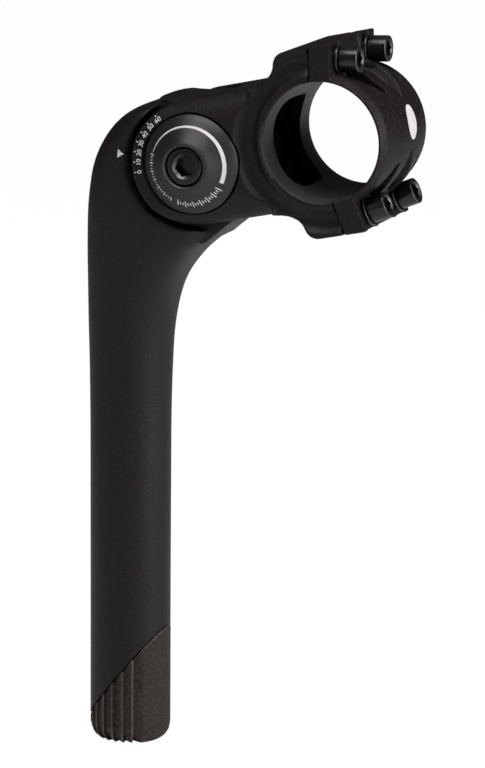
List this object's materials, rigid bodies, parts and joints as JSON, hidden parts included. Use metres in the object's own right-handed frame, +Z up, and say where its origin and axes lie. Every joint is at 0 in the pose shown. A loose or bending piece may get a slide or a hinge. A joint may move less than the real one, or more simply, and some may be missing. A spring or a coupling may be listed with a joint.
{
  "type": "handlebar stem",
  "caption": "Quill stem with a tilting arm, a two-piece handlebar clamp, a marked tilt dial and a slanted expander wedge.",
  "frame": {"origin": "on the quill's axis at the foot of the expander wedge", "axes": "+Z up the steering axis, +X forward to the handlebar, -Y the side with the tilt scale"},
  "size_m": [0.0908, 0.043, 0.199],
  "materials": {
    "black_coat": "matte fine-textured black powder coat on forged aluminium",
    "black_screw": "satin black oxide on steel screws and washers",
    "wedge_steel": "rough dark sintered steel",
    "bolt_steel": "dull zinc-plated steel",
    "bright_steel": "satin bare steel",
    "rubber": "matte black moulded rubber"
  },
  "bodies": {
    "quill": {"quill_body": "black_coat", "expander_washer": "bright_steel", "pivot_sleeve": "bright_steel", "knuckle_ring_near": "bright_steel", "knuckle_ring_far": "bright_steel"},
    "plug": {"key_hole_plug": "rubber"},
    "expander_bolt": {"expander_bolt": "bolt_steel"},
    "wedge": {"expander_wedge": "wedge_steel"},
    "head": {"head": "black_coat", "ear_ring_near": "bright_steel", "ear_ring_far": "bright_steel", "tilt_nut": "black_coat"},
    "tilt_cap": {"tilt_cap": "black_coat"},
    "tilt_screw": {"tilt_screw": "black_screw"},
    "faceplate": {"faceplate": "black_coat"},
    "clamp_washer_top_near": {"clamp_washer_top_near": "black_screw"},
    "clamp_screw_top_near": {"clamp_screw_top_near": "black_screw"},
    "clamp_washer_top_far": {"clamp_washer_top_far": "black_screw"},
    "clamp_screw_top_far": {"clamp_screw_top_far": "black_screw"},
    "clamp_washer_bottom_near": {"clamp_washer_bottom_near": "black_screw"},
    "clamp_screw_bottom_near": {"clamp_screw_bottom_near": "black_screw"},
    "clamp_washer_bottom_far": {"clamp_washer_bottom_far": "black_screw"},
    "clamp_screw_bottom_far": {"clamp_screw_bottom_far": "black_screw"}
  },
  "joints": [
    {"name": "head_tilt", "type": "hinge", "parent": "quill", "child": "head", "pos_m": [0.0243, 0, 0.165], "axis": [0, -1, 0], "range_deg": [-20, 40]},
    {"name": "tilt_cap_out", "type": "slide", "parent": "head", "child": "tilt_cap", "axis": [0, -1, 0], "range_m": [0, 0.003]},
    {"name": "tilt_screw_turn", "type": "hinge", "parent": "tilt_cap", "child": "tilt_screw", "pos_m": [0.0243, 0, 0.165], "axis": [0, -1, 0], "range_deg": [0, 1080]},
    {"name": "expander_turn", "type": "hinge", "parent": "quill", "child": "expander_bolt", "pos_m": [0, 0, 0.13], "axis": [0, 0, -1], "range_deg": [0, 360]},
    {"name": "wedge_slide", "type": "slide", "parent": "quill", "child": "wedge", "axis": [0.6278, 0, 0.7784], "range_m": [0, 0.0016]},
    {"name": "plug_pull", "type": "slide", "parent": "quill", "child": "plug", "axis": [0, 0, 1], "range_m": [0, 0.024]},
    {"name": "faceplate_play", "type": "slide", "parent": "head", "child": "faceplate", "axis": [0.9763, 0, 0.2164], "range_m": [0, 0.0015]},
    {"name": "clamp_washer_out_top_near", "type": "slide", "parent": "faceplate", "child": "clamp_washer_top_near", "axis": [0.999, 0, 0.0436], "range_m": [0, 0.0024]},
    {"name": "clamp_screw_turn_top_near", "type": "hinge", "parent": "clamp_washer_top_near", "child": "clamp_screw_top_near", "pos_m": [0.064, -0.0115, 0.19432], "axis": [0.999, 0, 0.0436], "range_deg": [0, 1080]},
    {"name": "clamp_washer_out_top_far", "type": "slide", "parent": "faceplate", "child": "clamp_washer_top_far", "axis": [0.999, 0, 0.0436], "range_m": [0, 0.0024]},
    {"name": "clamp_screw_turn_top_far", "type": "hinge", "parent": "clamp_washer_top_far", "child": "clamp_screw_top_far", "pos_m": [0.064, 0.0115, 0.19432], "axis": [0.999, 0, 0.0436], "range_deg": [0, 1080]},
    {"name": "clamp_washer_out_bottom_near", "type": "slide", "parent": "faceplate", "child": "clamp_washer_bottom_near", "axis": [0.9239, 0, 0.3827], "range_m": [0, 0.0024]},
    {"name": "clamp_screw_turn_bottom_near", "type": "hinge", "parent": "clamp_washer_bottom_near", "child": "clamp_screw_bottom_near", "pos_m": [0.07267, -0.0115, 0.15521], "axis": [0.9239, 0, 0.3827], "range_deg": [0, 1080]},
    {"name": "clamp_washer_out_bottom_far", "type": "slide", "parent": "faceplate", "child": "clamp_washer_bottom_far", "axis": [0.9239, 0, 0.3827], "range_m": [0, 0.0024]},
    {"name": "clamp_screw_turn_bottom_far", "type": "hinge", "parent": "clamp_washer_bottom_far", "child": "clamp_screw_bottom_far", "pos_m": [0.07267, 0.0115, 0.15521], "axis": [0.9239, 0, 0.3827], "range_deg": [0, 1080]}
  ],
  "couplings": [
    {"joint": "tilt_screw_turn", "follows": "tilt_cap_out", "rad_per_m": 6283.2},
    {"joint": "expander_turn", "follows": "wedge_slide", "rad_per_m": 3912.6},
    {"joint": "clamp_screw_turn_top_near", "follows": "clamp_washer_out_top_near", "rad_per_m": 7854},
    {"joint": "clamp_screw_turn_top_far", "follows": "clamp_washer_out_top_far", "rad_per_m": 7854},
    {"joint": "clamp_screw_turn_bottom_near", "follows": "clamp_washer_out_bottom_near", "rad_per_m": 7854},
    {"joint": "clamp_screw_turn_bottom_far", "follows": "clamp_washer_out_bottom_far", "rad_per_m": 7854}
  ]
}
